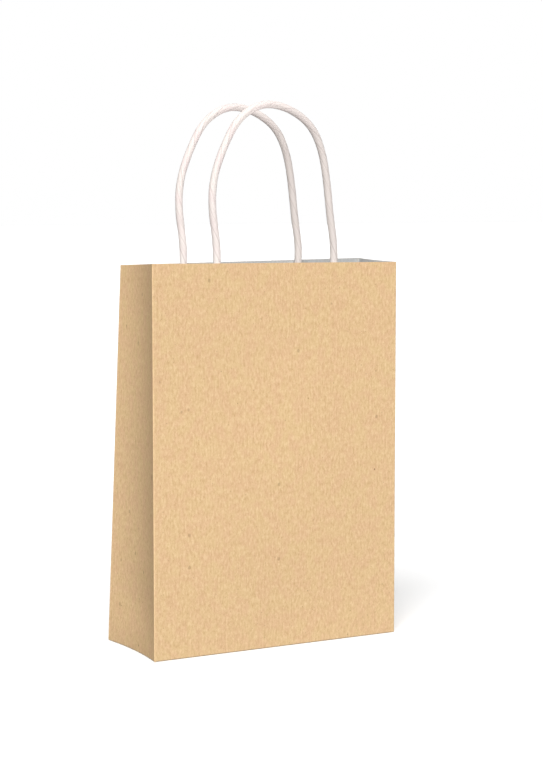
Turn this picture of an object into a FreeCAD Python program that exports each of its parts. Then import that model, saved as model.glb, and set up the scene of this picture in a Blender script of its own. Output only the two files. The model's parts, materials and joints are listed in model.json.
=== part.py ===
"""Paper gift bag with a block bottom, gussets that fold flat, and two cord handles.

Frame: millimetres, +Z up, X across the front, -Y towards the front.  The origin is the
middle of the footprint, on the surface that the bag stands on.

One sheet of paper makes the walls and the bottom.  Every crease between two stiff panels
is a hinge, so each panel is a piece of its own.  The back wall leans forward, so the two
walls, both back creases and both gusset creases all point at one line high above the bag.
Folding about creases that meet there closes the bag without bending a panel.
"""
import FreeCAD, Part
import math
import os

import Sketcher

doc = FreeCAD.newDocument("gift_bag")

# --- driving dimensions -------------------------------------------------------------

DIMENSIONS = [
    ("width", 150.0),             # outside, across the front
    ("depth", 60.0),              # outside, at the bottom
    ("height", 210.0),            # along a wall, bottom crease to rim
    ("lean", 5.46),               # degrees the back wall leans forward
    ("paper", 0.3),               # one sheet
    ("crease_gap", 0.5),          # at the one wall crease that is left open
    ("seam_width", 14.0),         # glued lap down the back wall
    ("seam_inset", 2.2),          # from the crease beside it
    ("seam_trim", 6.0),           # shorter than the wall at each end
    ("bottom_gap", 1.0),          # front edge of the bottom to the front wall
    ("bottom_hinge_gap", 0.2),    # back edge of the bottom to the back wall
    ("bottom_side_gap", 4.0),     # slanted edges of the bottom, back from 45 degrees
    ("flap_reach", 38.0),         # outer bottom flap, from the back crease
    ("flap_lap", 16.0),           # how far the two bottom flaps overlap
    ("ear_reach", 34.0),          # folded-in gusset end, from the side wall
    ("ear_root", 59.0),           # its width at the side wall
    ("ear_tip", 46.0),            # its width at the inner end
    ("ear_gap", 0.2),             # from the side wall
    ("patch_width", 96.0),        # paper patch that holds a handle
    ("patch_height", 34.0),
    ("patch_drop", 5.0),          # top of the patch below the rim
    ("cord_diameter", 3.8),
    ("cord_play", 0.05),          # round the cord, under the cover patch
    ("cord_tuck", 24.0),          # glued end of the cord, below the rim
    ("hinge_rise", 2.5),          # where a handle bends, above the rim
    ("left_leg", -35.8),          # handle's legs across the bag
    ("right_leg", 36.0),
    ("back_shift", -2.5),         # back handle is glued a little to the left
]

sheet = doc.addObject("Spreadsheet::Sheet", "dims")
size = {}
for row, (alias, value) in enumerate(DIMENSIONS, start=1):
    sheet.set(f"A{row}", alias)
    sheet.set(f"B{row}", str(value))
    sheet.setAlias(f"B{row}", alias)
    size[alias] = value
doc.recompute()

# A handle's centre line seen from the front: across the bag, and up from the rim.
HANDLE_ROUTE = [
    (-35.8, 2.5),
    (-36.6, 14.0),
    (-39.0, 30.0),
    (-38.0, 45.0),
    (-32.5, 60.0),
    (-23.5, 76.5),
    (-8.5, 85.2),
    (8.0, 82.6),
    (22.0, 73.5),
    (28.6, 59.5),
    (31.6, 42.0),
    (33.4, 24.5),
    (35.6, 12.0),
    (36.0, 2.5),
]
ARC_SHARE = 0.45                  # of the shorter run beside a bend

# --- expressions that several pieces share -------------------------------------------

HALF_WIDTH = "dims.width/2"
FRONT_INSIDE = "(-dims.depth/2 + dims.paper)"
BACK_INSIDE = "(dims.depth/2 - dims.paper)"
INSIDE_DEPTH = "(dims.depth - 2*dims.paper)"
APEX_HEIGHT = f"({INSIDE_DEPTH}/tan(dims.lean*1deg))"
BACK_RIM_DEPTH = f"({BACK_INSIDE} - dims.height*sin(dims.lean*1deg))"
BACK_RIM_HEIGHT = "(dims.height*cos(dims.lean*1deg))"
MID_RIM_HEIGHT = "(dims.height*(1 + cos(dims.lean*1deg))/2)"
BOTTOM_SIDE = "(dims.width/2 - dims.paper - dims.bottom_side_gap)"

lean = math.radians(size["lean"])
front_inside = -size["depth"] / 2 + size["paper"]
back_inside = size["depth"] / 2 - size["paper"]
cord_radius = size["cord_diameter"] / 2
cord_depth = size["paper"] + cord_radius          # cord's centre line inside a wall


def mid_crease_depth(at_height):
    """Where the crease down the middle of a gusset is, front to back, at a height."""
    return f"({FRONT_INSIDE} + ({APEX_HEIGHT} - {at_height})*tan(dims.lean*1deg/2))"


# --- frames ---------------------------------------------------------------------------


def frame(origin, x_axis, y_axis):
    """A placement from an origin and two axes at right angles."""
    x_axis = FreeCAD.Vector(*x_axis)
    y_axis = FreeCAD.Vector(*y_axis)
    z_axis = x_axis.cross(y_axis)
    matrix = FreeCAD.Matrix(
        x_axis.x, y_axis.x, z_axis.x, origin[0],
        x_axis.y, y_axis.y, z_axis.y, origin[1],
        x_axis.z, y_axis.z, z_axis.z, origin[2],
        0, 0, 0, 1,
    )
    return FreeCAD.Placement(matrix)


# On a wall: X along the wall, Y up it, Z into the bag, from the inside face's foot.
FRONT_WALL = frame((0, front_inside, 0), (-1, 0, 0), (0, 0, 1))
BACK_WALL = frame((0, back_inside, 0), (1, 0, 0), (0, -math.sin(lean), math.cos(lean)))
FLAT = FreeCAD.Placement()


def side_wall(outside_face):
    """On a gusset: X front to back, Y up, Z towards +X, from a plane x = outside_face."""
    return frame((outside_face, 0, 0), (0, 1, 0), (0, 0, 1))


# --- builders -------------------------------------------------------------------------


def plate(label, corners, placement, thickness="dims.paper", down=False):
    """A sheet of paper: a closed outline of corners, each a pair of expressions, padded."""
    body = doc.addObject("PartDesign::Body", label)
    body.Label = label
    sketch = body.newObject("Sketcher::SketchObject", label + "_outline")
    plane = [f for f in body.Origin.OriginFeatures if f.Role == "XY_Plane"][0]
    sketch.AttachmentSupport = [(plane, "")]
    sketch.MapMode = "FlatFace"
    values = [
        FreeCAD.Vector(evaluate(sketch, across), evaluate(sketch, along), 0)
        for across, along in corners
    ]
    count = len(values)
    for i in range(count):
        line = Part.LineSegment(values[i], values[(i + 1) % count])
        sketch.addGeometry(line, False)
    for i in range(count):
        sketch.addConstraint(Sketcher.Constraint("Coincident", i, 2, (i + 1) % count, 1))
    for i, (across, along) in enumerate(corners):
        directions = (("DistanceX", values[i].x, across), ("DistanceY", values[i].y, along))
        for kind, place, text in directions:
            index = sketch.addConstraint(Sketcher.Constraint(kind, -1, 1, i, 1, place))
            sketch.setExpression(f"Constraints[{index}]", text)
    pad = body.newObject("PartDesign::Pad", label + "_sheet")
    pad.Profile = sketch
    pad.setExpression("Length", thickness)
    pad.Reversed = down
    sketch.Visibility = False
    body.Placement = placement
    return body


def evaluate(owner, text):
    """The number that an expression gives now."""
    value = owner.evalExpression(text)
    return float(getattr(value, "Value", value))


def primitive(kind, label, placement, **expressions):
    """A Part primitive whose sizes follow the sheet."""
    piece = doc.addObject("Part::" + kind, label)
    piece.Label = label
    for name, text in expressions.items():
        piece.setExpression(name, text)
    piece.Placement = placement
    return piece


def shifted(dx, dy, dz, axis=(0, 0, 1), angle=0):
    """A placement moved by (dx, dy, dz) after a turn about an axis."""
    rotation = FreeCAD.Rotation(FreeCAD.Vector(*axis), angle)
    return FreeCAD.Placement(FreeCAD.Vector(dx, dy, dz), rotation)


# --- walls ----------------------------------------------------------------------------


def wall(label, placement):
    """Front or back panel: a full-width sheet standing outside its inside face."""
    corners = [
        (f"-{HALF_WIDTH}", "0"),
        (HALF_WIDTH, "0"),
        (HALF_WIDTH, "dims.height"),
        (f"-{HALF_WIDTH}", "dims.height"),
    ]
    return plate(label, corners, placement, down=True)


def gusset_back_half(label, outside_face):
    """From the back crease to the crease down the middle of the gusset."""
    corners = [
        (mid_crease_depth("0"), "0"),
        (BACK_INSIDE, "0"),
        (BACK_RIM_DEPTH, BACK_RIM_HEIGHT),
        (mid_crease_depth(MID_RIM_HEIGHT), MID_RIM_HEIGHT),
    ]
    return plate(label, corners, side_wall(outside_face))


def gusset_front_half(label, outside_face, gap):
    """From the middle crease to the front crease, less a gap where that one is open."""
    front_edge = f"({FRONT_INSIDE} + {gap})"
    corners = [
        (front_edge, "0"),
        (mid_crease_depth("0"), "0"),
        (mid_crease_depth(MID_RIM_HEIGHT), MID_RIM_HEIGHT),
        (front_edge, "dims.height"),
    ]
    return plate(label, corners, side_wall(outside_face))


left_face = -size["width"] / 2
right_face = size["width"] / 2 - size["paper"]
parts = [
    wall("front_panel", FRONT_WALL),
    wall("back_panel", BACK_WALL),
    gusset_back_half("left_gusset_back_half", left_face),
    gusset_front_half("left_gusset_front_half", left_face, "0"),
    gusset_back_half("right_gusset_back_half", right_face),
    gusset_front_half("right_gusset_front_half", right_face, "dims.crease_gap"),
]


def seam_lap():
    """Glued lap that closes the sheet into a tube, inside the back panel."""
    outer = f"({HALF_WIDTH} - dims.paper - dims.seam_inset)"
    inner = f"({outer} - dims.seam_width)"
    top = "(dims.height - dims.seam_trim)"
    corners = [(inner, "dims.seam_trim"), (outer, "dims.seam_trim"), (outer, top), (inner, top)]
    return plate("back_seam_lap", corners, BACK_WALL)


parts.append(seam_lap())

# --- bottom ---------------------------------------------------------------------------


def bottom_flap(label, root_depth, tip_depth, root_side, tip_side, layer):
    """A bottom flap with ends cut at 45 degrees, lying in its own layer of paper."""
    corners = [
        (f"-{root_side}", root_depth),
        (root_side, root_depth),
        (tip_side, tip_depth),
        (f"-{tip_side}", tip_depth),
    ]
    return plate(label, corners, shifted(0, 0, layer * size["paper"]))


back_root = f"({BACK_INSIDE} - dims.bottom_hinge_gap)"
back_tip = f"({BACK_INSIDE} - dims.flap_reach)"
front_root = f"({FRONT_INSIDE} + dims.bottom_gap)"
front_tip = f"({BACK_INSIDE} - dims.flap_reach + dims.flap_lap)"
parts += [
    bottom_flap(
        "bottom_outer_flap", back_root, back_tip,
        f"({BOTTOM_SIDE} - dims.bottom_hinge_gap)", f"({BOTTOM_SIDE} - dims.flap_reach)", 0,
    ),
    bottom_flap(
        "bottom_inner_flap", front_root, front_tip,
        f"({BOTTOM_SIDE} - dims.bottom_gap)",
        f"({BOTTOM_SIDE} - {INSIDE_DEPTH} + dims.flap_reach - dims.flap_lap)", 1,
    ),
]


def ear(label, side):
    """End of a gusset folded in under the bottom flaps' upper side."""
    root = f"({side}*({HALF_WIDTH} - dims.paper - dims.ear_gap))"
    tip = f"({side}*({HALF_WIDTH} - dims.paper - dims.ear_gap - dims.ear_reach))"
    corners = [
        (root, "-dims.ear_root/2"),
        (tip, "-dims.ear_tip/2"),
        (tip, "dims.ear_tip/2"),
        (root, "dims.ear_root/2"),
    ]
    return plate(label, corners, shifted(0, 0, 2 * size["paper"]))


parts += [ear("bottom_left_ear", -1), ear("bottom_right_ear", 1)]

# --- handle patches and glued cord ends -------------------------------------------------


def patch_pair(side, wall_frame, legs):
    """Backing patch on the wall, and a cover patch over it with a ridge over each cord."""
    foot = size["height"] - size["patch_drop"] - size["patch_height"]
    left_edge = sum(legs) / 2 - size["patch_width"] / 2
    backing = primitive(
        "Box", f"{side}_handle_backing_patch", wall_frame.multiply(shifted(left_edge, foot, 0)),
        Length="dims.patch_width", Width="dims.patch_height", Height="dims.paper",
    )
    sheet_box = primitive(
        "Box", f"{side}_cover_sheet", shifted(left_edge, foot, size["paper"]),
        Length="dims.patch_width", Width="dims.patch_height", Height="dims.paper",
    )
    ridge = "dims.cord_diameter/2 + dims.cord_play + dims.paper"
    groove = "dims.cord_diameter/2 + dims.cord_play"
    solids, hollows = [sheet_box], []
    for number, leg in enumerate(legs):
        for part_name, radius, group in (("ridge", ridge, solids), ("groove", groove, hollows)):
            reach = evaluate(sheet, radius)
            group.append(primitive(
                "Box", f"{side}_{part_name}_wall_{number}", shifted(leg - reach, foot, size["paper"]),
                Length=f"2*({radius})", Width="dims.patch_height", Height="dims.cord_diameter/2",
            ))
            group.append(primitive(
                "Cylinder", f"{side}_{part_name}_crown_{number}",
                shifted(leg, foot + size["patch_height"], cord_depth, (1, 0, 0), 90),
                Radius=radius, Height="dims.patch_height", Angle="180",
            ))
    outer = doc.addObject("Part::MultiFuse", f"{side}_cover_outside")
    outer.Shapes = solids
    inner = doc.addObject("Part::MultiFuse", f"{side}_cover_grooves")
    inner.Shapes = hollows
    cover = doc.addObject("Part::Cut", f"{side}_handle_cover_patch")
    cover.Base = outer
    cover.Tool = inner
    cover.Label = f"{side}_handle_cover_patch"
    cover.Placement = wall_frame
    return [backing, cover]


def glued_end(label, wall_frame, leg):
    """End of the handle cord, flat on the backing patch, up to where the cord bends."""
    foot = shifted(leg, size["height"] - size["cord_tuck"], cord_depth, (1, 0, 0), -90)
    return primitive(
        "Cylinder", label, wall_frame.multiply(foot),
        Radius="dims.cord_diameter/2",
        Height="dims.cord_tuck + dims.hinge_rise - dims.cord_diameter/2 - dims.cord_play",
    )


# --- handle loops -----------------------------------------------------------------------


def tangent_path(points):
    """Straight runs joined by arcs, each as large as its two runs allow."""
    edges, radii = [], []
    start = points[0]
    for before, corner, after in zip(points, points[1:], points[2:]):
        run_in, run_out = corner - before, after - corner
        half_turn = run_in.getAngle(run_out) / 2
        tangent = ARC_SHARE * min(run_in.Length, run_out.Length)
        radius = tangent / math.tan(half_turn)
        run_in.normalize()
        run_out.normalize()
        arc_start = corner - run_in * tangent
        arc_end = corner + run_out * tangent
        inward = (run_out - run_in).normalize()
        arc_middle = corner + inward * radius * (1 / math.cos(half_turn) - 1)
        edges.append(Part.LineSegment(start, arc_start).toShape())
        edges.append(Part.Arc(arc_start, arc_middle, arc_end).toShape())
        radii.append(radius)
        start = arc_end
    edges.append(Part.LineSegment(start, points[-1]).toShape())
    return Part.Wire(edges), radii


def handle_loop(label, hinge, shift):
    """The free part of a handle: one round cord in an upright plane, with rounded ends."""
    lift = hinge.z - size["hinge_rise"]
    points = [FreeCAD.Vector(x + shift, hinge.y, z + lift) for x, z in HANDLE_ROUTE]
    path, radii = tangent_path(points)
    along = points[1] - points[0]
    section = Part.Wire(Part.Edge(Part.Circle(points[0], along, cord_radius)))
    tube = path.makePipeShell([section], True, False)
    shape = tube
    for end in (points[0], points[-1]):
        shape = shape.fuse(Part.makeSphere(cord_radius, end))
    loop = doc.addObject("Part::Feature", label)
    loop.Label = label
    loop.Shape = shape
    loop.Placement = FLAT
    expected = math.pi * cord_radius**2 * path.Length
    print(f"{label}: length {path.Length:.1f}, least radius {min(radii):.1f}, "
          f"volume ratio {tube.Volume / expected:.4f}")
    print("  radii", [round(r, 1) for r in radii])
    return loop


def hinge_point(wall_frame):
    """Where a handle bends, on the middle of the bag."""
    rise = size["height"] + size["hinge_rise"]
    return wall_frame.multVec(FreeCAD.Vector(0, rise, cord_depth))


HANDLE_SIDES = (
    ("front", FRONT_WALL, -1, 0.0),
    ("back", BACK_WALL, 1, size["back_shift"]),
)
for side, wall_frame, mirror, shift in HANDLE_SIDES:
    across = [size["left_leg"] + shift, size["right_leg"] + shift]
    parts += patch_pair(side, wall_frame, [mirror * leg for leg in across])
    for hand, leg in zip(("left", "right"), across):
        parts.append(glued_end(f"{side}_handle_{hand}_end", wall_frame, mirror * leg))
    parts.append(handle_loop(f"{side}_handle_loop", hinge_point(wall_frame), shift))

# --- check and write --------------------------------------------------------------------

doc.recompute()
for item in doc.Objects:
    if "Invalid" in item.State or "Error" in item.State:
        raise RuntimeError(f"{item.Name} did not compute: {item.State}")
for piece in parts:
    if piece.Shape.isNull() or not piece.Shape.isValid():
        raise RuntimeError(f"{piece.Label} has no valid shape")

os.makedirs("parts", exist_ok=True)
for piece in parts:
    piece.Shape.exportStep(f"parts/{piece.Label}.step")
    box = piece.Shape.BoundBox
    print(f"{piece.Label}: volume {piece.Shape.Volume:.1f} mm3, "
          f"x {box.XMin:.2f}..{box.XMax:.2f}, y {box.YMin:.2f}..{box.YMax:.2f}, "
          f"z {box.ZMin:.2f}..{box.ZMax:.2f}")
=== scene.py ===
"""Paper gift bag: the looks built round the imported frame.

Every sheet is a thin closed shell with an outside, an inside and a cut edge.  Panels swell
a little, gussets bow inwards, and creases are small arcs.  All sizes are in metres.
"""
import json
import math

import bmesh
import bpy
import numpy as np
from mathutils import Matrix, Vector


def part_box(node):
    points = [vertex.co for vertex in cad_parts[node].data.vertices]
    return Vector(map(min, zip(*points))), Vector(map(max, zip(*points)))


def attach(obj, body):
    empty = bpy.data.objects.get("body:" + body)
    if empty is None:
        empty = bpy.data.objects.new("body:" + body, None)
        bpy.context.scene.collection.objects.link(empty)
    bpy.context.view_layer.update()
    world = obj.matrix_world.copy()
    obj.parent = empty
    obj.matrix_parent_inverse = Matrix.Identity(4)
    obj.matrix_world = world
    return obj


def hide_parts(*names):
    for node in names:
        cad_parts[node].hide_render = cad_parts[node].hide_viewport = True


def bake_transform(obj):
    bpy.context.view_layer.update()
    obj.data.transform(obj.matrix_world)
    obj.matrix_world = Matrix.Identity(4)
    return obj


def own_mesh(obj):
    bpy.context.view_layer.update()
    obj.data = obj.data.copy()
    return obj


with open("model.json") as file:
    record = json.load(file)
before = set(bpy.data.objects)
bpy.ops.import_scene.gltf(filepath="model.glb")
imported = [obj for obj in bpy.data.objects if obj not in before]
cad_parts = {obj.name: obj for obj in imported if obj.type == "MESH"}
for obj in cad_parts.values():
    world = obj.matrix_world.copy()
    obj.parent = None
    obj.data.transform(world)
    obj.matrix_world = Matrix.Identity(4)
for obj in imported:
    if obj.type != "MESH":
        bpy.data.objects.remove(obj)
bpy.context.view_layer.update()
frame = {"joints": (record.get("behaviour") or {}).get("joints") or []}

JOINTS = {joint["name"]: joint for joint in frame["joints"]}
MM = 0.001


def pivot(name):
    return np.array(JOINTS[name]["pos_m"], float)


def axis(name):
    return np.array(JOINTS[name]["axis"], float)


def corners(node):
    low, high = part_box(node)
    return np.array(low), np.array(high)


# --- camera ---------------------------------------------------------------------------

CAMERA_PLACE = (-0.508176, -0.944203, 0.244038)
CAMERA_YAW = 28.859
CAMERA_DOWN = 5.442
CAMERA_LENS = 91.115

camera_data = bpy.data.cameras.new("camera")
camera_data.lens = CAMERA_LENS
camera_data.sensor_width = 36
camera_data.clip_start = 0.05
camera_data.clip_end = 60
camera = bpy.data.objects.new("camera", camera_data)
camera.location = CAMERA_PLACE
camera.rotation_euler = (math.radians(90 - CAMERA_DOWN), 0, -math.radians(CAMERA_YAW))
bpy.context.collection.objects.link(camera)
bpy.context.scene.camera = camera

# --- walls as places --------------------------------------------------------------------

front_low, front_high = corners("front_panel")
HALF = front_high[0]
PAPER = front_high[1] - front_low[1]
HEIGHT = front_high[2]
FRONT_INSIDE = front_high[1]
UP_BACK = axis("left_back_crease")
BACK_INSIDE = pivot("left_back_crease")[1]
CREASE = 0.45 * MM                 # outside radius of a fold
LAYER_GAP = 0.02 * MM              # between sheets that lie on each other

WALLS = {
    "front": (np.array((0, FRONT_INSIDE, 0)), np.array((0, 0, 1.0)), np.array((0, 1.0, 0))),
    "back": (
        np.array((0, BACK_INSIDE, 0)), UP_BACK, np.array((0, -UP_BACK[2], UP_BACK[1])),
    ),
}


def on_wall(side, across, up, depth):
    """Points from a wall's inside face: across the bag, up the wall, and into the bag."""
    origin, upward, inward = WALLS[side]
    across, up, depth = np.broadcast_arrays(across, up, depth)
    points = origin + up[..., None] * upward + depth[..., None] * inward
    points[..., 0] += across
    return points


def ease(value):
    """0 below 0, 1 above 1, smooth between."""
    t = np.clip(value, 0, 1)
    return t * t * (3 - 2 * t)


def ripple(seed, first, second, size, wave):
    """A gentle uneven surface: a few long waves in different directions."""
    rng = np.random.default_rng(seed)
    total = 0
    for turn, phase, stretch in zip(
        rng.uniform(0, math.pi, 6), rng.uniform(0, 6.28, 6), rng.uniform(0.6, 1.7, 6)
    ):
        along = first * math.cos(turn) + second * math.sin(turn)
        total = total + np.sin(along * 2 * math.pi / (wave * stretch) + phase)
    return total * size / 3


# How far a wall's cut rim is above its even height, at the left and right corners.
RIM_CUT = {"front": (0.4 * MM, -0.8 * MM), "back": (-0.4 * MM, 1.3 * MM)}


def rim_stretch(side, across):
    """A wall's height as a share of the even height, across the bag."""
    left, right = RIM_CUT[side]
    return 1 + (left + (right - left) * (across / HALF + 1) / 2) / HEIGHT


def swell(side, across, up):
    """How far a wall stands out from its flat plane. It is flat at its creases and rim."""
    share = up / HEIGHT
    most = {"front": 1.1, "back": 0.9}[side] * MM
    edge = np.clip(1 - (across / HALF) ** 2, 0, 1)
    middle = ease(share / 0.35) * (1 - ease((share - 0.42) / 0.36))
    seed = {"front": 3, "back": 5}[side]
    waves = ripple(seed, across, up, 0.16 * MM, 70 * MM)
    return edge * (most * middle + waves * ease(share / 0.1) * (1 - ease((share - 0.7) / 0.1)))


# --- sheets as meshes ---------------------------------------------------------------------


def spaced(start, stop, step, fine=(0.3, 0.8, 1.6, 3.0, 5.0)):
    """Positions from start to stop, closer together near both ends.

    Fine holds the first distances from an end, in thousandths.
    """
    near = [start] + [start + f * MM for f in fine]
    far = [stop - f * MM for f in reversed(fine)] + [stop]
    count = max(2, round((far[0] - near[-1]) / step))
    middle = list(np.linspace(near[-1], far[0], count + 1))[1:-1]
    return np.array(near + middle + far)


def grid_normals(points, toward):
    """Unit normals of a grid of points, on the side that toward points to."""
    normals = np.cross(np.gradient(points, axis=1), np.gradient(points, axis=0))
    normals /= np.maximum(np.linalg.norm(normals, axis=2, keepdims=True), 1e-12)
    if (normals @ np.asarray(toward, float)).mean() < 0:
        normals = -normals
    return normals


def link(name, mesh):
    piece = bpy.data.objects.new(name, mesh)
    bpy.context.collection.objects.link(piece)
    return piece


SHEET_SHARP = 40                   # degrees: flatter edges are shaded smooth
CORD_SHARP = 60
SIDE_SHIFT = (0, 0, 0.37)          # so the two sides of a sheet don't show the same spots


def sheet(name, outer, inner, flat, wear_and_painted_shade, materials):
    """A closed sheet between two grids of points, with outside, inside and edge materials."""
    rows, columns = outer.shape[:2]
    count = rows * columns
    number = np.arange(count).reshape(rows, columns)
    faces, kinds = [], []
    for shift, kind in ((0, 0), (count, 1)):
        n = number + shift
        quads = np.stack((n[:-1, :-1], n[:-1, 1:], n[1:, 1:], n[1:, :-1]), axis=-1)
        faces += quads.reshape(-1, 4).tolist()
        kinds += [kind] * ((rows - 1) * (columns - 1))
    ring = np.concatenate((number[0, :-1], number[:-1, -1], number[-1, :0:-1], number[:0:-1, 0]))
    after = np.roll(ring, -1)
    faces += np.stack((ring, after, after + count, ring + count), axis=-1).tolist()
    kinds += [2] * len(ring)
    mesh = bpy.data.meshes.new(name)
    both = np.concatenate((outer.reshape(-1, 3), inner.reshape(-1, 3)))
    mesh.from_pydata(both.tolist(), [], faces)
    mesh.polygons.foreach_set("material_index", kinds)
    for material in materials:
        mesh.materials.append(material)
    flat3 = np.zeros((rows, columns, 3))
    flat3[..., :2] = flat
    flat3 = np.concatenate((flat3.reshape(-1, 3), flat3.reshape(-1, 3) + SIDE_SHIFT))
    mesh.attributes.new("flat", "FLOAT_VECTOR", "POINT").data.foreach_set("vector", flat3.ravel())
    worn = np.tile(np.broadcast_to(wear_and_painted_shade, (rows, columns)).ravel(), 2)
    mesh.attributes.new("wear_and_painted_shade", "FLOAT", "POINT").data.foreach_set("value", worn)
    close(mesh, SHEET_SHARP)
    return link(name, mesh)


def close(mesh, sharp):
    """Turns every face outwards and shades the mesh smooth up to an angle in degrees."""
    work = bmesh.new()
    work.from_mesh(mesh)
    bmesh.ops.recalc_face_normals(work, faces=work.faces)
    work.to_mesh(mesh)
    work.free()
    mesh.shade_smooth()
    mesh.set_sharp_from_angle(angle=math.radians(sharp))
    mesh.update()


# --- materials ----------------------------------------------------------------------------


def linear(red, green, blue):
    """A shader colour from the 0 to 255 values that a screen shows."""
    def one(value):
        value /= 255
        return value / 12.92 if value <= 0.04045 else ((value + 0.055) / 1.055) ** 2.4
    return one(red), one(green), one(blue), 1.0


class Shader:
    """A Principled material, and short ways to wire nodes into it."""

    def __init__(self, name):
        self.material = bpy.data.materials.new(name)
        self.material.use_nodes = True
        self.tree = self.material.node_tree
        self.surface = self.tree.nodes["Principled BSDF"]

    def add(self, kind, inputs, output=0, **settings):
        made = self.tree.nodes.new("ShaderNode" + kind)
        for name, value in settings.items():
            setattr(made, name, value)
        self.feed(made, inputs)
        return made.outputs[output]

    def feed(self, made, inputs):
        for name, value in inputs.items():
            if isinstance(value, bpy.types.NodeSocket):
                self.tree.links.new(value, made.inputs[name])
            else:
                made.inputs[name].default_value = value

    def attribute(self, name, output):
        return self.add("Attribute", {}, output, attribute_name=name)

    def stretch(self, vector, factors):
        return self.add("VectorMath", {0: vector, 1: factors}, operation="MULTIPLY")

    def noise(self, vector, scale, detail=3.0, rough=0.55):
        inputs = {"Vector": vector, "Scale": scale, "Detail": detail, "Roughness": rough}
        return self.add("TexNoise", inputs, "Fac")

    def step(self, value, low, high, start=0.0, end=1.0):
        """Start where the value is low, end where it is high, smooth between."""
        inputs = {
            "Value": value, "From Min": low, "From Max": high, "To Min": start, "To Max": end,
        }
        return self.add("MapRange", inputs, interpolation_type="SMOOTHSTEP")

    def math(self, operation, first, second):
        return self.add("Math", {0: first, 1: second}, operation=operation)

    def mix(self, share, first, second):
        return self.add("Mix", {0: share, 6: first, 7: second}, 2, data_type="RGBA")

    def dots(self, vector, scale, radius, kept):
        """Scattered spots: 1 inside a spot. Kept is the share of cells that hold one."""
        inputs = {"Vector": vector, "Scale": scale, "Randomness": 1.0}
        near = self.add("TexVoronoi", inputs, "Distance")
        chance = self.add("SeparateColor", {"Color": self.add("TexVoronoi", inputs, "Color")})
        there = self.math("LESS_THAN", chance, kept)
        return self.math("MULTIPLY", self.step(near, radius, radius * 0.5), there)

    def threads(self, vector, scale, width, seed):
        """Curled hair-thin lines: 1 on a line, where a noise crosses its middle value."""
        moved = self.add("VectorMath", {0: vector, 1: (seed, seed * 0.7, 0)}, operation="ADD")
        away = self.math("ABSOLUTE", self.math("SUBTRACT", self.noise(moved, scale, 1.5), 0.5), 0)
        return self.step(away, width, width * 0.2)

    def bump(self, height, distance):
        normal = self.add("Bump", {"Height": height, "Distance": distance, "Strength": 1.0})
        self.feed(self.surface, {"Normal": normal})


# Flecks: upright stretch, cells per metre, radius, share of cells with one, and strength.
FLECKS = (
    (0.8, 330, 0.19, 0.006, 0.95), (0.8, 240, 0.26, 0.02, 0.4), (0.8, 900, 0.3, 0.02, 0.4),
    (0.8, 620, 0.24, 0.007, 0.6), (0.4, 70, 0.07, 0.45, 0.65),
)


def paper(
    name, tone, warm, light, dark, fleck, mottle=0.8, spots=0.8, rough=0.82, relief=0.05 * MM,
):
    """Uncoated paper: upright mottling, soft blotches, curled fibres, flecks, worn folds."""
    s = Shader(name)
    flat = s.attribute("flat", "Vector")
    wear_and_painted_shade = s.attribute("wear_and_painted_shade", "Fac")
    grain = s.noise(s.stretch(flat, (1, 0.42, 1)), 820, 4, 0.68)
    streak = s.noise(s.stretch(flat, (1, 0.07, 1)), 1100, 3, 0.6)
    cloud = s.noise(s.stretch(flat, (1, 0.8, 1)), 130, 3, 0.5)
    broad = s.noise(flat, 32, 2, 0.5)
    felt = s.noise(flat, 2600, 4, 0.7)
    pale_threads = s.threads(s.stretch(flat, (1, 0.55, 1)), 520, 0.028, 0.21)
    dark_threads = s.threads(s.stretch(flat, (1, 0.7, 1)), 400, 0.02, 0.53)
    colour = s.mix(s.step(cloud, 0.38, 0.64), tone, warm)
    colour = s.mix(s.step(broad, 0.35, 0.7, 0, 0.35), colour, warm)
    colour = s.mix(s.step(grain, 0.47, 0.72, 0, mottle), colour, light)
    colour = s.mix(s.step(grain, 0.5, 0.27, 0, mottle), colour, dark)
    colour = s.mix(s.step(streak, 0.5, 0.28, 0, 0.45 * mottle), colour, dark)
    colour = s.mix(s.step(streak, 0.55, 0.78, 0, 0.3 * mottle), colour, light)
    colour = s.mix(s.math("MULTIPLY", pale_threads, 0.4 * mottle), colour, light)
    colour = s.mix(s.math("MULTIPLY", dark_threads, 0.45 * mottle), colour, dark)
    for tall, scale, radius, kept, share in FLECKS:
        spot = s.dots(s.stretch(flat, (1, tall, 1)), scale, radius, kept)
        colour = s.mix(s.math("MULTIPLY", spot, share * spots), colour, fleck)
    scuffed = s.math("MULTIPLY", wear_and_painted_shade, s.step(s.noise(flat, 900, 3), 0.3, 0.62, 0.2, 1))
    colour = s.mix(s.math("MULTIPLY", scuffed, 0.3), colour, light)
    height = s.math("ADD", s.math("MULTIPLY", grain, 0.8), s.math("MULTIPLY", felt, 0.4))
    height = s.math("ADD", height, s.math("MULTIPLY", pale_threads, 0.2))
    s.bump(height, relief)
    s.feed(s.surface, {
        "Base Color": colour,
        "Roughness": s.step(felt, 0.3, 0.7, rough - 0.07, rough + 0.07),
        "Specular IOR Level": 0.28,
    })
    return s.material


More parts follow.
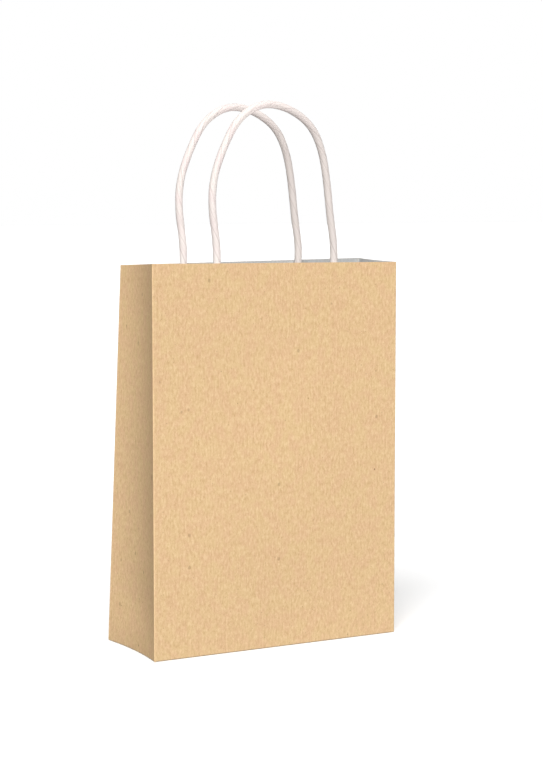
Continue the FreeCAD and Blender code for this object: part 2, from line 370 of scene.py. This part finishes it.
def cord_paper(name):
    """Tightly twisted white paper: painted shade darkens the grooves, with fine lines that follow
    them.

    Painted shade makes the tone fall a little from the start of a cord to its end.
    """
    s = Shader(name)
    flat = s.attribute("flat", "Vector")
    painted_groove_shade = s.attribute("wear_and_painted_shade", "Fac")
    lines = s.noise(s.stretch(flat, (1, 0.05, 1)), 1500, 3, 0.55)
    cloud = s.noise(s.stretch(flat, (0.5, 0.5, 1)), 160, 3, 0.5)
    felt = s.noise(flat, 3800, 3, 0.6)
    colour = s.mix(s.step(cloud, 0.35, 0.65), linear(219, 211, 207), linear(218, 206, 204))
    along = s.add("SeparateXYZ", {0: flat}, "Y")
    # Painted shade: the part of each cord from about its top onwards is darker.
    colour = s.mix(s.step(along, 0.1, 0.18), colour, linear(203, 195, 191))
    colour = s.mix(s.step(lines, 0.5, 0.25, 0, 0.35), colour, linear(194, 185, 181))
    colour = s.mix(s.step(lines, 0.55, 0.8, 0, 0.3), colour, linear(232, 227, 224))
    # Painted shade: the grooves of the twist are darkened where shade would fall in them.
    colour = s.mix(s.math("MULTIPLY", painted_groove_shade, 0.6), colour, linear(166, 155, 151))
    height = s.math("ADD", s.math("MULTIPLY", lines, 0.8), s.math("MULTIPLY", felt, 0.3))
    s.bump(height, 0.04 * MM)
    s.feed(s.surface, {
        "Base Color": colour,
        "Roughness": s.step(lines, 0.3, 0.7, 0.65, 0.85),
        "Specular IOR Level": 0.2,
    })
    return s.material


KRAFT = paper(
    "kraft_outside", linear(226, 194, 146), linear(226, 188, 147), linear(244, 213, 168),
    linear(204, 168, 122), linear(112, 84, 56),
)
# Painted shade: the pale inner paper is darkened to the grey it shows in shade inside the bag.
INSIDE_WITH_PAINTED_SHADE = paper(
    "inside_paper_painted_shade", linear(186, 188, 188), linear(188, 187, 185), linear(201, 202, 202),
    linear(167, 168, 168), linear(134, 128, 119), mottle=0.5, spots=0.3,
)
CUT = paper(
    "cut_edge", linear(232, 206, 170), linear(228, 198, 160), linear(242, 224, 196),
    linear(200, 168, 126), linear(150, 116, 84), mottle=1.0, rough=0.9, relief=0.12 * MM,
)
PATCH = paper(
    "white_patch", linear(232, 230, 226), linear(234, 229, 223), linear(243, 242, 239),
    linear(214, 211, 206), linear(176, 168, 158), mottle=0.5, spots=0.25,
)
TWIST = cord_paper("twisted_cord")
SHEET = (KRAFT, INSIDE_WITH_PAINTED_SHADE, CUT)

# --- handle cords ---------------------------------------------------------------------------

# A handle's centre line seen from the front: across the bag, and up from the rim.
HANDLE_ROUTE = (
    (-0.0358, 0.0025),
    (-0.0366, 0.0140),
    (-0.0390, 0.0300),
    (-0.0380, 0.0450),
    (-0.0325, 0.0600),
    (-0.0235, 0.0765),
    (-0.0085, 0.0852),
    (0.0080, 0.0826),
    (0.0220, 0.0735),
    (0.0286, 0.0595),
    (0.0316, 0.0420),
    (0.0334, 0.0245),
    (0.0356, 0.0120),
    (0.0360, 0.0025),
)
CORD_TURN = 33 * MM                # one turn of the twist, along the cord
CORD_TUCK = 24 * MM                # how far below the rim a cord ends
CORD_SIDES = 64
CORD_FULL = 1.075                  # an open cord's reach, as a share of its pressed radius
CORD_UNEVEN = 0.015
DEEPEST = 0.075                    # the deepest groove, as a share of the radius
# Grooves round the cord: angle, depth as a share of the radius, and half width.
GROOVES = (
    (0.0, DEEPEST, 0.13), (1.15, 0.03, 0.10), (2.05, 0.055, 0.12), (3.15, 0.025, 0.10),
    (4.0, 0.065, 0.13), (5.2, 0.035, 0.11),
)


def route_line(name, points):
    """Points read from one NURBS spline with the route's points as its control points."""
    data = bpy.data.curves.new(name, "CURVE")
    data.dimensions = "3D"
    data.resolution_u = 48
    spline = data.splines.new("NURBS")
    spline.points.add(len(points) - 1)
    for place, point in zip(spline.points, points):
        place.co = (*point, 1)
    spline.order_u = 3
    spline.use_endpoint_u = True
    holder = link(name, data)
    bpy.context.view_layer.update()
    graph = bpy.context.evaluated_depsgraph_get()
    mesh = bpy.data.meshes.new_from_object(holder.evaluated_get(graph))
    line = np.array([vertex.co for vertex in mesh.vertices])
    bpy.data.objects.remove(holder)
    bpy.data.meshes.remove(mesh)
    bpy.data.curves.remove(data)
    keep = np.concatenate(([True], np.linalg.norm(np.diff(line, axis=0), axis=1) > 1e-6))
    return line[keep]


def twisted_cord(name, line, radius, seed):
    """A cord of twisted paper along a line: grooves that wind round it, and closed ends."""
    count = len(line)
    runs = np.linalg.norm(np.diff(line, axis=0), axis=1)
    along = np.concatenate(([0], np.cumsum(runs)))
    tangent = np.gradient(line, axis=0)
    tangent /= np.linalg.norm(tangent, axis=1, keepdims=True)
    ahead = np.array((0, 1.0, 0)) - tangent * tangent[:, 1:2]
    ahead /= np.linalg.norm(ahead, axis=1, keepdims=True)
    beside = np.cross(tangent, ahead)
    angle = np.arange(CORD_SIDES) * 2 * math.pi / CORD_SIDES
    rng = np.random.default_rng(seed)
    phases = rng.uniform(0, 6.28, 4)
    uneven = sum(np.sin(along / (w * MM) + p) for w, p in zip((3.1, 5.3, 9.7, 17.0), phases)) / 4
    lead = 0.5 * uneven - 2 * math.pi * along / CORD_TURN
    wound = angle[None, :] + lead[:, None]
    reach = np.ones((count, CORD_SIDES))
    hollow = np.zeros((count, CORD_SIDES))
    for number, (at, depth, half) in enumerate(GROOVES):
        away = np.abs((wound - at + math.pi) % (2 * math.pi) - math.pi)
        dip = np.exp(-((away / half) ** 2))
        fade = 0.75 + 0.25 * np.sin(along / ((11 + 3 * number) * MM) + phases[number % 4])
        reach -= depth * dip * fade[:, None]
        hollow = np.maximum(hollow, dip * fade[:, None] * depth / DEEPEST)
    reach *= CORD_FULL + CORD_UNEVEN * np.sin(2 * wound) + CORD_UNEVEN * uneven[:, None]
    offset = (
        ahead[:, None, :] * np.sin(angle)[None, :, None]
        + beside[:, None, :] * np.cos(angle)[None, :, None]
    )
    rings = line[:, None, :] + offset * (reach * radius)[..., None]
    caps = []
    for end, sign in ((0, -1), (count - 1, 1)):
        shrunk = [
            line[end] + sign * tangent[end] * radius * push + (rings[end] - line[end]) * size
            for size, push in ((0.9, 0.12), (0.6, 0.24))
        ]
        caps.append(shrunk)
    stack = np.concatenate((caps[0][::-1], rings, caps[1]))
    rows = len(stack)
    number = np.arange(rows * CORD_SIDES).reshape(rows, CORD_SIDES)
    right = np.roll(number, -1, axis=1)
    faces = np.stack((number[:-1], right[:-1], right[1:], number[1:]), axis=-1)
    faces = faces.reshape(-1, 4).tolist() + [number[0].tolist(), number[-1].tolist()]
    mesh = bpy.data.meshes.new(name)
    mesh.from_pydata(stack.reshape(-1, 3).tolist(), [], faces)
    mesh.materials.append(TWIST)
    pad = ((2, 2), (0, 0))
    # Painted shade: how deep each point lies in a groove, which the cord material darkens.
    painted_groove_shade = np.pad(hollow, pad, mode="edge")
    # The twisted strip unrolled: across its lines round the cord, and along them.
    spread = np.stack((
        np.cos(wound) * radius, np.repeat(along[:, None], CORD_SIDES, 1), np.sin(wound) * radius,
    ), axis=-1)
    spread = np.pad(spread, (*pad, (0, 0)), mode="edge")
    mesh.attributes.new("flat", "FLOAT_VECTOR", "POINT").data.foreach_set("vector", spread.ravel())
    mesh.attributes.new("wear_and_painted_shade", "FLOAT", "POINT").data.foreach_set("value", painted_groove_shade.ravel())
    close(mesh, CORD_SHARP)
    return link(name, mesh)


def handle(side, seed, stretch):
    """One handle: a cord glued to the wall at both ends, with a free loop above the rim."""
    end_low, end_high = corners(f"{side}_handle_left_end")
    radius = (end_high[0] - end_low[0]) / 2
    hinge = pivot(f"{side}_handle_bend")
    shift = (end_low[0] + end_high[0]) / 2 - HANDLE_ROUTE[0][0]
    lift = hinge[2] - HANDLE_ROUTE[0][1]
    points = [(x + shift, hinge[1], z * stretch + lift) for x, z in HANDLE_ROUTE]
    foot, last = (
        on_wall(side, points[end][0], HEIGHT - CORD_TUCK, PAPER + radius) for end in (0, -1)
    )
    line = route_line(f"{side}_route", [tuple(foot), *points, tuple(last)])
    cord = twisted_cord(f"{side}_handle_cord", line, radius, seed)
    patch_top = corners(f"{side}_handle_backing_patch")[1][2]
    leaves = on_wall(side, points[0][0], patch_top, PAPER + radius)
    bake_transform(cord)
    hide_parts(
        f"{side}_handle_loop", f"{side}_handle_left_end", f"{side}_handle_right_end",
    )
    return cord


cords = [handle("front", 11, 1.0), handle("back", 23, 1.012)]

# --- walls ------------------------------------------------------------------------------

ROUND = np.linspace(0, math.pi / 2, 5)


def fold_rows(tall, step):
    """Rows up a panel: height, and how far its bottom fold turns inwards."""
    curl = ROUND[::-1][:-1]
    low = CREASE * (1 - np.sin(curl))
    inward = CREASE * (1 - np.cos(curl))
    rest = spaced(CREASE, tall, step)
    return np.concatenate((low, rest)), np.concatenate((inward, np.zeros(len(rest))))


def crease_wear(distance):
    """How worn the paper is at a distance from a crease or a cut."""
    return np.exp(-np.abs(distance) / (0.7 * MM))


def panel(side, cut_right):
    """Front or back panel, with a small arc down each corner crease.

    A panel that is cut at the right has no crease there.
    """
    flat_x = spaced(-HALF + CREASE, HALF - CREASE, 2.6 * MM)
    turn = ROUND[1:]
    left_x, left_depth = -HALF + CREASE * (1 - np.sin(turn)), CREASE * (1 - np.cos(turn))
    x = np.concatenate((left_x[::-1], flat_x, -left_x))
    depth = np.concatenate((left_depth[::-1], np.zeros(len(flat_x)), left_depth))
    if cut_right:
        keep = len(x) - len(turn)
        x, depth = x[:keep + 1], depth[:keep + 1]
        x[-1], depth[-1] = HALF - 0.2 * MM, 0
    steps = np.concatenate(([0], np.cumsum(np.hypot(np.diff(x), np.diff(depth)))))
    up, curl = fold_rows(HEIGHT, 2.8 * MM)
    if side == "front":                # a short lip under the inner bottom flap
        up, curl = np.concatenate(([0], up)), np.concatenate(([CREASE], curl))
    across, rise = np.meshgrid(x, up)
    rise = rise * rim_stretch(side, across)
    sink = np.broadcast_to(depth, across.shape) - PAPER - swell(side, across, rise)
    outer = on_wall(side, across, rise, sink)
    inward = grid_normals(outer, WALLS[side][2])
    outer = outer + inward * curl[:, None, None]
    if side == "front":
        corner = HALF - np.abs(x)
        outer[0] += WALLS[side][2] * (1.2 * MM * ease((corner - 0.6 * MM) / (1.5 * MM)))[:, None]
    inner = outer + grid_normals(outer, WALLS[side][2]) * PAPER
    if side == "front":
        inner[0] = outer[0] + (0, 0, PAPER)
        inner[1] = outer[1] + (0, 0.1 * MM, PAPER)
    flat = np.stack((np.broadcast_to(steps, across.shape), rise), axis=-1)
    wear_and_painted_shade = np.maximum.reduce((
        crease_wear(across + HALF), crease_wear(HALF - across),
        crease_wear(rise), 0.5 * crease_wear(HEIGHT - rise),
    ))
    piece = sheet(f"{side}_panel_sheet", outer, inner, flat, wear_and_painted_shade, SHEET)
    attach(piece, f"{side}_wall")
    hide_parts(f"{side}_panel")


panel("front", cut_right=False)
panel("back", cut_right=True)

GUSSET_SPAN = 60 * MM
BOW_SLOPE = 0.235                  # how steeply a gusset leaves its creases
BOW_STRAIGHT = 0.04                # share of the gusset with that slope, at each crease
BOW_FOOT = 0.55                    # share of the bow that is left at the foot


def gusset_bow(up_share, depth, share):
    """How far a gusset bows into the bag, at a share of its depth. It bows less at both ends."""
    near = np.clip(np.minimum(share, 1 - share), 0, 0.5)
    rest = np.clip(near - BOW_STRAIGHT, 0, None)
    reach = near - rest ** 2 / (2 * (0.5 - BOW_STRAIGHT))
    top = 1 - 0.15 * ease((up_share - 0.85) / 0.15)
    foot = BOW_FOOT + (1 - BOW_FOOT) * ease(up_share / 0.15)
    return BOW_SLOPE * depth * reach * top * foot


def gusset(hand):
    """A side wall: one sheet with a crease down its middle."""
    side = {"left": -1, "right": 1}[hand]
    tucks = {"front": 0.35 * MM, "back": 1.0 * MM if hand == "right" else 0.3 * MM}
    share = spaced(0, GUSSET_SPAN, 1.6 * MM, fine=(0.4, 1.0, 2.0, 3.5)) / GUSSET_SPAN
    share = np.concatenate((
        share[share < 0.425], np.linspace(0.43, 0.57, 15), share[share > 0.575],
    ))
    up, curl = fold_rows(HEIGHT, 2.8 * MM)
    share_grid, rise = np.meshgrid(share, up)
    front_up, back_up = (rise * rim_stretch(wall, side * HALF) for wall in ("front", "back"))
    front = on_wall("front", side * HALF, front_up, CREASE - PAPER)
    back = on_wall("back", side * HALF, back_up, CREASE - PAPER)
    outer = front + share_grid[..., None] * (back - front)
    depth = (back - front)[..., 1]
    bow = gusset_bow(rise / HEIGHT, depth, share_grid)
    arch = 4 * share_grid * (1 - share_grid)
    waves = ripple(7 if side < 0 else 9, share_grid * depth, rise, 0.1 * MM, 60 * MM)
    outer[..., 0] -= side * (bow + waves * arch ** 2 * ease(rise / (15 * MM)))
    inward = grid_normals(outer, (-side, 0, 0))
    outer = outer + inward * curl[:, None, None]

    def tuck(wall):
        """A hidden column that goes round a crease, behind the front or back panel."""
        x = side * (HALF - tucks[wall])
        return on_wall(wall, x, up * rim_stretch(wall, side * HALF), LAYER_GAP)[:, None, :]

    outer = np.concatenate((tuck("front"), outer, tuck("back")), axis=1)
    inner = outer + grid_normals(outer, (-side, 0, 0)) * PAPER
    for column, wall in ((0, "front"), (-1, "back")):
        inner[:, column] = outer[:, column] + WALLS[wall][2] * PAPER * 0.6
    distance = np.concatenate(([-0.3 * MM], share * GUSSET_SPAN, [GUSSET_SPAN + 0.3 * MM]))
    offset = 0.2 * (2 + side)
    flat = np.stack(np.broadcast_arrays(distance[None, :] + offset, up[:, None]), axis=-1)
    from_edge = np.minimum(distance, GUSSET_SPAN - distance)[None, :]
    wear_and_painted_shade = np.maximum.reduce(np.broadcast_arrays(
        0.8 * crease_wear(from_edge), crease_wear(up)[:, None],
        0.5 * crease_wear(HEIGHT - up)[:, None],
        0.12 * np.exp(-(((distance - GUSSET_SPAN / 2) / (0.6 * MM)) ** 2))[None, :],
    ))
    piece = sheet(f"{hand}_gusset_sheet", outer, inner, flat, wear_and_painted_shade, SHEET)
    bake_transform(piece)
    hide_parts(f"{hand}_gusset_back_half", f"{hand}_gusset_front_half")


gusset("left")
gusset("right")

# --- sheets glued to the walls --------------------------------------------------------------


def wall_sheet(name, side, x, up, lower, thick, wear_and_painted_shade, materials, offset):
    """A sheet lying inside a wall. Lower is how far its underside is from the wall.

    Offset moves its pattern, so that no two sheets show the same one.
    """
    across, rise = np.meshgrid(x, up)
    level = lower - swell(side, across, rise) + LAYER_GAP
    under = on_wall(side, across, rise, level)
    over = under + grid_normals(under, WALLS[side][2]) * thick
    flat = np.stack((across + offset, rise), axis=-1)
    piece = sheet(name, over, under, flat, wear_and_painted_shade(across, rise), materials)
    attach(piece, f"{side}_wall")
    return piece


def patch(side, offset):
    """Backing patch on a wall, and a cover patch that drapes over both cord ends."""
    low, high = corners(f"{side}_handle_backing_patch")
    rim = on_wall(side, 0, HEIGHT, 0)[2]
    rise_per_up = WALLS[side][1][2]
    top = HEIGHT - (rim - high[2]) / rise_per_up
    foot = top - (high[2] - low[2]) / rise_per_up
    x = spaced(low[0], high[0], 2.4 * MM, fine=(0.3, 1.0, 2.0))
    up = spaced(foot, top, 2.4 * MM, fine=(0.3, 1.0, 2.0))

    def edge_wear(across, rise):
        from_side = np.minimum(across - low[0], high[0] - across)
        from_end = np.minimum(rise - foot, top - rise)
        return 0.8 * crease_wear(np.minimum(from_side, from_end))

    backing = wall_sheet(
        f"{side}_backing_patch_sheet", side, x, up, 0, PAPER, edge_wear, (PATCH,) * 3, offset,
    )
    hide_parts(f"{side}_handle_backing_patch")

    legs = []
    for hand in ("left", "right"):
        end_low, end_high = corners(f"{side}_handle_{hand}_end")
        legs.append((end_low[0] + end_high[0]) / 2)
        radius = (end_high[0] - end_low[0]) / 2
    near = np.concatenate([leg + np.arange(-5.2, 5.21, 0.26) * MM for leg in legs])
    far = x[np.min(np.abs(x[:, None] - np.array(legs)), axis=1) > 5.6 * MM]
    x = np.sort(np.concatenate((near, far)))
    tuck = HEIGHT - CORD_TUCK
    up = np.sort(np.concatenate((up, np.arange(tuck - 4.2 * MM, tuck + 1 * MM, 0.4 * MM))))
    up = up[np.concatenate(([True], np.diff(up) > 0.1 * MM))]
    across, rise = np.meshgrid(x, up)
    crown = 2 * radius + 0.14 * MM
    ridge = sum(np.exp(-((np.abs(across - leg) / (2.75 * MM)) ** 4)) for leg in legs)
    ridge = ridge * ease((rise - (tuck - 3.6 * MM)) / (3.4 * MM))
    pucker = ripple(31, across * 3, rise, 0.05 * MM, 9 * MM) * ease(ridge * 6) * (1 - ridge)
    lower = PAPER + LAYER_GAP + crown * ridge + np.abs(pucker)
    cover = wall_sheet(
        f"{side}_cover_patch_sheet", side, x, up, lower, PAPER, edge_wear, (PATCH,) * 3,
        offset + 0.3,
    )
    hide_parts(f"{side}_handle_cover_patch")


patch("front", 0.9)
patch("back", 1.3)

lap_low, lap_high = corners("back_seam_lap")
lap_up = spaced(
    lap_low[2] / UP_BACK[2], lap_high[2] / UP_BACK[2], 2.8 * MM, fine=(0.3, 1.0, 2.0),
)
lap_x = spaced(lap_low[0], lap_high[0], 1.4 * MM, fine=(0.3, 0.8))
lap = wall_sheet(
    "seam_lap_sheet", "back", lap_x, lap_up, 0, PAPER,
    lambda across, rise: 0.6 * crease_wear(np.minimum(across - lap_low[0], lap_high[0] - across)),
    (INSIDE_WITH_PAINTED_SHADE, INSIDE_WITH_PAINTED_SHADE, CUT), 1.8,
)
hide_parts("back_seam_lap")

# --- bottom -----------------------------------------------------------------------------


def lifted(x, y):
    """The bottom isn't dead flat: it lifts a little off the floor here and there."""
    return 0.07 * MM + ripple(41, x, y, 0.045 * MM, 45 * MM)


def bottom_sheet(name, x, y, level, offset, wear_and_painted_shade):
    under = np.stack((x, y, level + lifted(x, y)), axis=-1)
    over = under + (0, 0, PAPER - LAYER_GAP)
    flat = np.stack((x + offset, y), axis=-1)
    piece = sheet(name, under, over, flat, wear_and_painted_shade, SHEET)
    return piece


def flap(name, node, root_at_back, offset):
    """A bottom flap with slanted ends, narrower towards its tip."""
    low, high = corners(node)
    reach = high[1] - low[1]
    share = spaced(0, reach, 2.6 * MM, fine=(0.3, 1.0, 2.0)) / reach
    spread = spaced(-1, 1, 0.035, fine=(6, 16, 30))
    slide, rows = np.meshgrid(spread, share)
    y = high[1] - rows * reach if root_at_back else low[1] + rows * reach
    x = slide * (high[0] - rows * reach)
    wear_and_painted_shade = np.maximum(crease_wear(rows * reach), 0.5 * crease_wear((1 - rows) * reach))
    piece = bottom_sheet(name, x, y, low[2], offset, wear_and_painted_shade)
    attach(piece, "bottom")
    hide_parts(node)


flap("bottom_outer_flap_sheet", "bottom_outer_flap", True, 2.2)
flap("bottom_inner_flap_sheet", "bottom_inner_flap", False, 2.5)

EAR_TAPER = 6.5 * MM               # on each side, from root to tip


def ear(hand, offset):
    """A gusset end folded in over the bottom flaps."""
    side = {"left": -1, "right": 1}[hand]
    node = f"bottom_{hand}_ear"
    low, high = corners(node)
    root = max(abs(low[0]), abs(high[0]))
    tip = min(abs(low[0]), abs(high[0]))
    reach = root - tip
    share = spaced(0, reach, 2.2 * MM, fine=(0.3, 1.0, 2.0)) / reach
    spread = spaced(-1, 1, 0.06, fine=(8, 20, 40))
    slide, rows = np.meshgrid(spread, share)
    y = slide * (high[1] - rows * EAR_TAPER)
    edge = (y - FRONT_INSIDE) / (BACK_INSIDE - FRONT_INSIDE)
    bow = gusset_bow(0, BACK_INSIDE - FRONT_INSIDE, edge)
    x = side * (root - rows * reach - bow * (1 - rows) - 0.1 * MM)
    wear_and_painted_shade = np.maximum(crease_wear(rows * reach), 0.5 * crease_wear((1 - rows) * reach))
    piece = bottom_sheet(f"bottom_{hand}_ear_sheet", x, y, low[2], offset, wear_and_painted_shade)
    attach(piece, "bottom")
    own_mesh(piece)
    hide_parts(node)


ear("left", 2.8)
ear("right", 3.1)

# --- floor and light ----------------------------------------------------------------------

FLOOR_REACH = 15.0
FLOOR_GAP = 0.05 * MM
floor_mesh = bpy.data.meshes.new("floor")
floor_mesh.from_pydata(
    [(x * FLOOR_REACH, y * FLOOR_REACH, 0) for x, y in ((-1, -1), (1, -1), (1, 1), (-1, 1))],
    [], [(0, 1, 2, 3)],
)
floor = link("floor", floor_mesh)
floor.location.z = -FLOOR_GAP
floor_shader = Shader("pale_floor")
# The floor looks white but throws little light up, as a lit sweep far below would.
looks = floor_shader.add("LightPath", {}, "Is Camera Ray")
tone = floor_shader.mix(looks, (0.07, 0.07, 0.07, 1), (0.96, 0.96, 0.96, 1))
floor_shader.feed(floor_shader.surface, {
    "Base Color": tone, "Roughness": 1.0, "Specular IOR Level": 0.0,
})
floor_mesh.materials.append(floor_shader.material)


def soft_sun(name, around, above, energy, spread, colour):
    """A broad light from far away. Around is degrees to the left of the bag's front.

    Above is its height and spread its width, in degrees too.
    """
    data = bpy.data.lights.new(name, "SUN")
    data.energy = energy
    data.angle = math.radians(spread)
    data.color = colour
    light = bpy.data.objects.new(name, data)
    light.rotation_euler = (math.radians(90 - above), 0, -math.radians(around))
    bpy.context.collection.objects.link(light)
    return light


soft_sun("key", 34, 38, 4.6, 55, (1.0, 0.99, 0.975))
soft_sun("fill", 213, 24, 2.3, 70, (0.97, 0.985, 1.0))
# A reflector under the handles. It lights only the cords, and the floor doesn't hide it.
reflector = soft_sun("reflector", -25, -45, 4.6, 120, (1.0, 0.98, 0.97))
for place in ("receiver", "blocker"):
    group = bpy.data.collections.new(f"reflector_{place}")
    for cord in cords:
        group.objects.link(cord)
    setattr(reflector.light_linking, f"{place}_collection", group)

# The backdrop looks white to the camera and lights the bag only faintly.
world = bpy.data.worlds.new("studio")
bpy.context.scene.world = world
world.use_nodes = True
tree = world.node_tree
backdrop = tree.nodes["Background"]
backdrop.inputs["Color"].default_value = (0.93, 0.96, 1.0, 1)
backdrop.inputs["Strength"].default_value = 0.12
seen = tree.nodes.new("ShaderNodeBackground")
seen.inputs["Color"].default_value = (1, 1, 1, 1)
path = tree.nodes.new("ShaderNodeLightPath")
choose = tree.nodes.new("ShaderNodeMixShader")
tree.links.new(path.outputs["Is Camera Ray"], choose.inputs[0])
tree.links.new(backdrop.outputs[0], choose.inputs[1])
tree.links.new(seen.outputs[0], choose.inputs[2])
tree.links.new(choose.outputs[0], tree.nodes["World Output"].inputs[0])

bpy.context.scene.view_settings.view_transform = "Standard"
bpy.context.scene.view_settings.look = "None"
